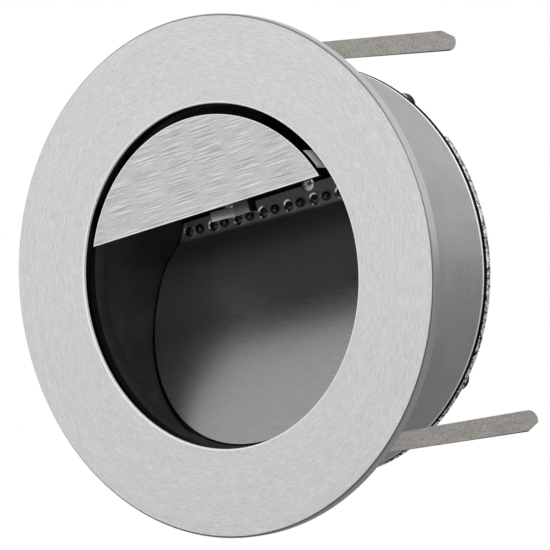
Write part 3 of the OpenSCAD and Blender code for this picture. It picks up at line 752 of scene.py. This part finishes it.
class Growth(Wiring):
    """A Geometry Nodes tree with named sizes, which grows one shape on every point."""

    def __init__(self, name, sizes):
        tree = bpy.data.node_groups.new(name, "GeometryNodeTree")
        super().__init__(tree)
        tree.interface.new_socket("Points", in_out="INPUT", socket_type="NodeSocketGeometry")
        for label, value in sizes.items():
            kind = "NodeSocketInt" if isinstance(value, int) else "NodeSocketFloat"
            tree.interface.new_socket(label, in_out="INPUT", socket_type=kind)
        tree.interface.new_socket("Material", in_out="INPUT", socket_type="NodeSocketMaterial")
        tree.interface.new_socket("Geometry", in_out="OUTPUT", socket_type="NodeSocketGeometry")
        self.sizes = sizes
        self.entry = self.node("NodeGroupInput").socket.node

    def size(self, label):
        """One of the tree's inputs."""
        return Signal(self, self.entry.outputs[label])

    def dome(self, radius, wall, crown):
        """A closed dome: a short round wall, an ellipsoid crown and a flat foot at z = 0."""
        ball = self.node(
            "GeometryNodeMeshUVSphere", None, {"Segments": 40, "Rings": 20, "Radius": 1.0}
        )
        x, y, z = self.split(self.node("GeometryNodeInputPosition"))
        # The ball's waist lies at z = 0, and what is below it is pressed flat
        height = (z > -0.001) * (wall + z * crown)
        target = self.vector(x * radius, y * radius, height)
        return self.node("GeometryNodeSetPosition", None, {"Geometry": ball, "Position": target})

    def stem(self, radius, length):
        """A round stem that goes down from the foot at z = 0."""
        rod = self.node(
            "GeometryNodeMeshCylinder", None, {"Vertices": 24, "Radius": radius, "Depth": length}
        )
        return self.moved(rod, length * -0.5)

    def moved(self, shape, height):
        """A shape shifted along the axis."""
        place = self.vector(0.0, 0.0, height)
        return self.node("GeometryNodeTransform", None, {"Geometry": shape, "Translation": place})

    def cube(self, x, y, z, height):
        """A block centred over the axis, with its middle at a height."""
        block = self.node("GeometryNodeMeshCube", None, {"Size": self.vector(x, y, z)})
        return self.moved(block, height)

    def cut(self, shape, tool):
        """A shape without what a tool takes away. The tool must not cross itself."""
        return self.node(
            "GeometryNodeMeshBoolean", {"operation": "DIFFERENCE", "solver": "EXACT"},
            {"Mesh 1": shape, "Mesh 2": tool}
        )

    def join(self, *shapes):
        """Several shapes as one."""
        return self.node("GeometryNodeJoinGeometry", None, {0: list(shapes)})

    def finish(self, shape):
        """Puts the shape on every point, turned to face along Y, and closes the tree."""
        turn = self.vector(self.size("Facing") * -math.pi / 2, 0.0, 0.0)
        grown = self.node(
            "GeometryNodeInstanceOnPoints", None,
            {"Points": self.size("Points"), "Instance": shape, "Rotation": turn}
        )
        # The node has sockets for several kinds: inputs 2 and 3 and output 1 are plain numbers
        spin = self.node(
            "FunctionNodeRandomValue", {"data_type": "FLOAT"},
            {2: 0.0, 3: math.pi, "Seed": self.size("Seed")}, 1
        )
        spun = self.node(
            "GeometryNodeRotateInstances", None,
            {"Instances": grown, "Rotation": self.vector(0.0, 0.0, spin), "Local Space": True}
        )
        real = self.node("GeometryNodeRealizeInstances", None, {"Geometry": spun})
        dressed = self.node(
            "GeometryNodeSetMaterial", None, {"Geometry": real, "Material": self.size("Material")}
        )
        self.node("NodeGroupOutput", None, {0: dressed})
        return self

    def grow(self, name, places, material, slot, node):
        """Runs the tree on places and lets the result, a plain mesh, stand for a CAD node."""
        dots = bpy.data.meshes.new(name + "_places")
        dots.from_pydata(places, [], [])
        holder = placed(name + "_places", dots)
        modifier = holder.modifiers.new(name, "NODES")
        modifier.node_group = self.tree
        values = {**self.sizes, "Material": material}
        for item in self.tree.interface.items_tree:
            if item.in_out == "INPUT" and item.name in values:
                modifier[item.identifier] = values[item.name]
        mesh = frozen(holder)
        mesh.name = name
        if not mesh.polygons:
            raise RuntimeError(f"{name} came out empty")
        rounded(mesh)
        piece_from(name, mesh, material, LAMP, node)


def head_tree(name, diameter, height, facing, stem, recess=0.0, seed=0):
    """A domed head on its stem, with a cross recess where one is asked for."""
    sizes = {
        "Diameter": diameter, "Height": height, "Stem": stem[0], "Length": stem[1],
        "Recess": recess, "Facing": facing, "Seed": seed
    }
    tree = Growth(name, sizes)
    across, up = tree.size("Diameter"), tree.size("Height")
    wall_part, slot_part = 0.35, 0.13
    shape = tree.dome(across / 2, up * wall_part, up * (1 - wall_part))
    if recess:
        long, width = across * tree.size("Recess"), across * slot_part
        for slot in (tree.cube(long, width, up, up), tree.cube(width, long, up, up)):
            shape = tree.cut(shape, slot)
    return tree.finish(tree.join(shape, tree.stem(tree.size("Stem") / 2, tree.size("Length"))))


def collar_tree(name, leds, rise):
    """A bright collar with a flared cup round the lens."""
    sizes = {
        "Outer": leds.collar, "Inner": leds.lens, "Rise": rise, "Lip": leds.lip, "Cup": leds.cup,
        "Facing": TO_FRONT, "Seed": 0
    }
    tree = Growth(name, sizes)
    sides = {"Vertices": 48}
    up, outside, inside = tree.size("Rise"), tree.size("Outer") / 2, tree.size("Inner") / 2
    wall = tree.node("GeometryNodeMeshCylinder", None, {**sides, "Radius": outside, "Depth": up})
    mouth = outside - tree.size("Lip")
    # The cone stands with its middle at the wall's front, so it is twice as deep as the cup
    cup = tree.node(
        "GeometryNodeMeshCone", None,
        {**sides, "Radius Top": mouth * 2 - inside, "Radius Bottom": inside,
         "Depth": up * tree.size("Cup") * 2}
    )
    foot = up * (1 - tree.size("Cup"))
    return tree.finish(tree.cut(tree.moved(wall, up * 0.5), tree.moved(cup, foot)))


class WALLLIGHT_OT_front(bpy.types.Operator):
    """Finish the ring, seal, liner and shade"""

    bl_idname = "wall_light.front"
    bl_label = "Ring, Liner and Shade"

    def execute(self, context):
        metals = context.scene.wall_light_metals
        edge = context.scene.wall_light_fixings.edge
        dress(turned_steel(metals), "bezel_ring")
        rubber = moulded("seal_rubber", metals.seal, roughness=0.7, gloss=0.1)
        dress(rubber, "front_seal", "bracket_pad", "rear_gasket")
        dress(dark_coat("liner_coat", metals.liner), "inner_liner")
        softened("shade_plate", edge, plate_steel(metals), LAMP)
        bracket = sheet_steel(
            "bracket_steel", metals.bracket, metals.brush, 0.35, depth=0.01, spread=0.3, reach=24
        )
        softened("shade_bracket", edge, bracket.material, LAMP)
        dress(bright_metal("zinc", (0.72, 0.72, 0.73)), "tie_posts", "shade_rivets")
        return {"FINISHED"}


class WALLLIGHT_OT_reflector(bpy.types.Operator):
    """Finish the reflector and the board behind it"""

    bl_idname = "wall_light.reflector"
    bl_label = "Reflector"

    def execute(self, context):
        metals = context.scene.wall_light_metals
        dress(reflector_steel(metals), "reflector")
        dress(solder_mask(), "led_board")
        return {"FINISHED"}


class WALLLIGHT_OT_leds(bpy.types.Operator):
    """Make the domes and collars of the LED row"""

    bl_idname = "wall_light.leds"
    bl_label = "LED Row"

    def execute(self, context):
        leds = context.scene.wall_light_leds
        collars = solids("led_collars")
        seat, rim = collars[0][1].y, collars[0][0].y
        chrome = bright_metal("collar_chrome", leds.collar_tint, 0.1)
        clear = clear_dome("lens_resin", leds.lens_tint)
        smoky = clear_dome("smoky_resin", leds.emitter_tint)
        self.dome_row("led_lenses", seat, clear, "lens_clear", leds.lens, leds.lens_rise)
        self.dome_row("led_emitters", seat, smoky, "lens_amber", leds.emitter)
        tree = collar_tree("collar_tree", leds, seat - rim)
        tree.grow("collars", middles(collars, seat), chrome, "bright_steel", "led_collars")
        return {"FINISHED"}

    def dome_row(self, node, seat, resin, slot, width, rise=0.0):
        """One kind of dome on all its places."""
        boxes = solids(node)
        low, high = boxes[0]
        stem = (high.x - low.x, high.y - seat)
        tree = head_tree(node + "_tree", width, rise or seat - low.y, TO_FRONT, stem)
        tree.grow(node + "_domes", middles(boxes, seat), resin, slot, node)


class WALLLIGHT_OT_screws(bpy.types.Operator):
    """Make the cross-headed screws"""

    bl_idname = "wall_light.screws"
    bl_label = "Screws"

    def execute(self, context):
        fixings = context.scene.wall_light_fixings
        black = dark_coat("black_oxide", BLACK_OXIDE, roughness=0.4, gloss=0.1)
        zinc = bpy.data.materials["zinc"]
        cover_thread, board_thread = 3 * MM, 2 * MM
        self.heads("cover_screws", TO_REAR, cover_thread, fixings.cover_head, black, "screw_black")
        self.heads(
            "board_screws", TO_FRONT, board_thread, fixings.board_head, zinc, "bright_steel",
            fixings.board_width
        )
        dress(zinc, "driver_screws")
        dress(washer_steel(fixings), "screw_washers")
        dress(bright_metal("brass", (0.60, 0.42, 0.16)), "terminal_screws", "earth_screw")
        return {"FINISHED"}

    def heads(self, node, facing, thread, height, material, slot, width=0.0):
        """Every screw of one kind, seated where the CAD screws are."""
        fixings = bpy.context.scene.wall_light_fixings
        boxes = solids(node)
        low, high = boxes[0]
        seat = high.y - height if facing == TO_REAR else low.y + height
        length = seat - low.y if facing == TO_REAR else high.y - seat
        tree = head_tree(
            node + "_tree", width or high.x - low.x, height, facing, (thread, length),
            fixings.recess, fixings.seed
        )
        tree.grow(node + "_heads", middles(boxes, seat), material, slot, node)


class WALLLIGHT_OT_housing(bpy.types.Operator):
    """Finish the can, the cover and the rough rear plate"""

    bl_idname = "wall_light.housing"
    bl_label = "Housing"

    def execute(self, context):
        metals = context.scene.wall_light_metals
        rear = context.scene.wall_light_rear
        dress(can_aluminium(metals), "housing_can")
        dress(dark_coat("cover_coat", BLACK_OXIDE, roughness=0.6, gloss=0.04), "rear_cover")
        rough_casting("rear_plate", rear, cast_metal(metals, rear.rim))
        return {"FINISHED"}


class WALLLIGHT_OT_springs(bpy.types.Operator):
    """Finish the leaf springs and make their rivets' heads"""

    bl_idname = "wall_light.springs"
    bl_label = "Springs"

    def execute(self, context):
        strip = strip_steel(context.scene.wall_light_metals)
        fixings = context.scene.wall_light_fixings
        for name in SPRINGS:
            softened("spring_blade_" + name, fixings.edge, strip, "spring_" + name)
            softened("spring_foot_" + name, fixings.edge, strip, LAMP)
        rivets = solids("spring_rivets")
        low, high = rivets[0]
        seat = high.y - fixings.rivet_head
        shank = 1.6 * MM
        stem = (shank, seat - low.y)
        tree = head_tree("rivet_tree", high.x - low.x, fixings.rivet_head, TO_REAR, stem)
        zinc = bpy.data.materials["zinc"]
        tree.grow(
            "spring_rivet_heads", middles(rivets, seat), zinc, "bright_steel", "spring_rivets"
        )
        return {"FINISHED"}


class WALLLIGHT_OT_gland(bpy.types.Operator):
    """Finish the cable gland"""

    bl_idname = "wall_light.gland"
    bl_label = "Cable Gland"

    def execute(self, context):
        plastic = moulded("gland_plastic", (0.02, 0.02, 0.022), 0.42)
        dress(plastic, "gland_body", "gland_cap", "gland_nut")
        dress(bpy.data.materials["seal_rubber"], "gland_seal")
        return {"FINISHED"}


class WALLLIGHT_OT_inside(bpy.types.Operator):
    """Finish the driver, the terminal block and the wires"""

    bl_idname = "wall_light.inside"
    bl_label = "Driver and Wires"

    def execute(self, context):
        dress(moulded("driver_case", (0.72, 0.72, 0.70), 0.4), "led_driver", "terminal_block")
        dress(moulded("brown_wire", (0.09, 0.03, 0.012), 0.35), "driver_leads")
        dress(moulded("red_wire", (0.42, 0.012, 0.01), 0.35), "led_leads")
        return {"FINISHED"}


class WALLLIGHT_OT_stage(bpy.types.Operator):
    """Set the floor, the lamps, the sky and the camera"""

    bl_idname = "wall_light.stage"
    bl_label = "Stage"

    def execute(self, context):
        stage = context.scene.wall_light_stage
        self.camera(context.scene, stage)
        self.sky(context.scene, stage)
        self.floor(stage)
        self.lamp("key_lamp", place=(0.75, -1.5, 0.55), size=0.9, power=stage.key)
        self.lamp("side_lamp", place=(0.7, 0.6, 0.8), size=0.5, power=stage.side)
        return {"FINISHED"}

    def camera(self, scene, stage):
        """The photograph's own viewing angle."""
        place = Vector((0.66794, -0.88259, -0.13001))
        forward = Vector((-0.58911, 0.79994, 0.11420)).normalized()
        up = Vector((0.232, 0.032, 0.972))
        right = forward.cross(up).normalized()
        up = right.cross(forward)
        camera = bpy.data.cameras.new("camera")
        camera.lens = stage.lens
        camera.sensor_width = 36
        camera.clip_start = 0.01
        holder = placed("camera", camera)
        holder.matrix_world = Matrix((right, up, -forward)).transposed().to_4x4()
        holder.matrix_world.translation = place
        scene.camera = holder

    def sky(self, scene, stage):
        """White where it is seen or mirrored, and softer as light on matt surfaces."""
        world = bpy.data.worlds.new("sky")
        scene.world = world
        world.use_nodes = True
        wiring = Wiring(world.node_tree)
        background = world.node_tree.nodes["Background"]
        background.inputs["Color"].default_value = (1, 1, 1, 1)
        camera, glossy, through = [
            wiring.node("ShaderNodeLightPath", out=name)
            for name in ("Is Camera Ray", "Is Glossy Ray", "Is Transmission Ray")
        ]
        shown = camera.sum("MAXIMUM", camera, glossy.sum("MAXIMUM", glossy, through))
        wiring.put(background.inputs["Strength"], shown * (1 - stage.ambient) + stage.ambient)

    def floor(self, stage):
        """A wide pale floor."""
        mesh = bpy.data.meshes.new("floor")
        half = 4.0
        corners = [(-half, -half), (half, -half), (half, half), (-half, half)]
        mesh.from_pydata([(x, y, stage.floor) for x, y in corners], [], [(0, 1, 2, 3)])
        floor = placed("floor", mesh)
        finish = Finish("floor_paint", (0.62, 0.62, 0.62), Roughness=0.9)
        finish.set("Base Color", finish.shade(finish.noise(finish.place(), 30), 0.985, 1.0))
        mesh.materials.append(finish.material)

    def lamp(self, name, place, size, power):
        """A square soft lamp that points at the light."""
        lamp = bpy.data.lights.new(name, "AREA")
        lamp.size = size
        lamp.energy = power
        holder = placed(name, lamp)
        holder.location = place
        holder.rotation_euler = Vector(place).to_track_quat("Z", "Y").to_euler()


STEPS = (
    WALLLIGHT_OT_front,
    WALLLIGHT_OT_reflector,
    WALLLIGHT_OT_leds,
    WALLLIGHT_OT_screws,
    WALLLIGHT_OT_housing,
    WALLLIGHT_OT_springs,
    WALLLIGHT_OT_gland,
    WALLLIGHT_OT_inside,
    WALLLIGHT_OT_stage,
)

SETTINGS = {
    "wall_light_metals": WallLightMetals,
    "wall_light_leds": WallLightLeds,
    "wall_light_fixings": WallLightFixings,
    "wall_light_rear": WallLightRear,
    "wall_light_stage": WallLightStage,
}


class WALLLIGHT_PT_sidebar(bpy.types.Panel):
    """Steps and settings of the wall light"""

    bl_idname = "WALLLIGHT_PT_sidebar"
    bl_label = "Wall Light"
    bl_space_type = "VIEW_3D"
    bl_region_type = "UI"
    bl_category = "Wall Light"

    def draw(self, context):
        for step in STEPS:
            self.layout.operator(step.bl_idname)
        for name, group in SETTINGS.items():
            box = self.layout.box()
            box.label(text=group.__doc__)
            for field in group.__annotations__:
                box.prop(getattr(context.scene, name), field)


def register():
    """Adds the settings, the steps and the panel."""
    for name, group in SETTINGS.items():
        bpy.utils.register_class(group)
        setattr(bpy.types.Scene, name, PointerProperty(type=group))
    for step in STEPS:
        bpy.utils.register_class(step)
    bpy.utils.register_class(WALLLIGHT_PT_sidebar)


def unregister():
    """Takes them away again."""
    bpy.utils.unregister_class(WALLLIGHT_PT_sidebar)
    for step in reversed(STEPS):
        bpy.utils.unregister_class(step)
    for name, group in SETTINGS.items():
        delattr(bpy.types.Scene, name)
        bpy.utils.unregister_class(group)


def main():
    """Builds the light and its stage."""
    register()
    for step in STEPS:
        family, name = step.bl_idname.split(".")
        getattr(getattr(bpy.ops, family), name)()
    bpy.context.scene.view_settings.view_transform = "Standard"


if __name__ == "__main__":
    main()
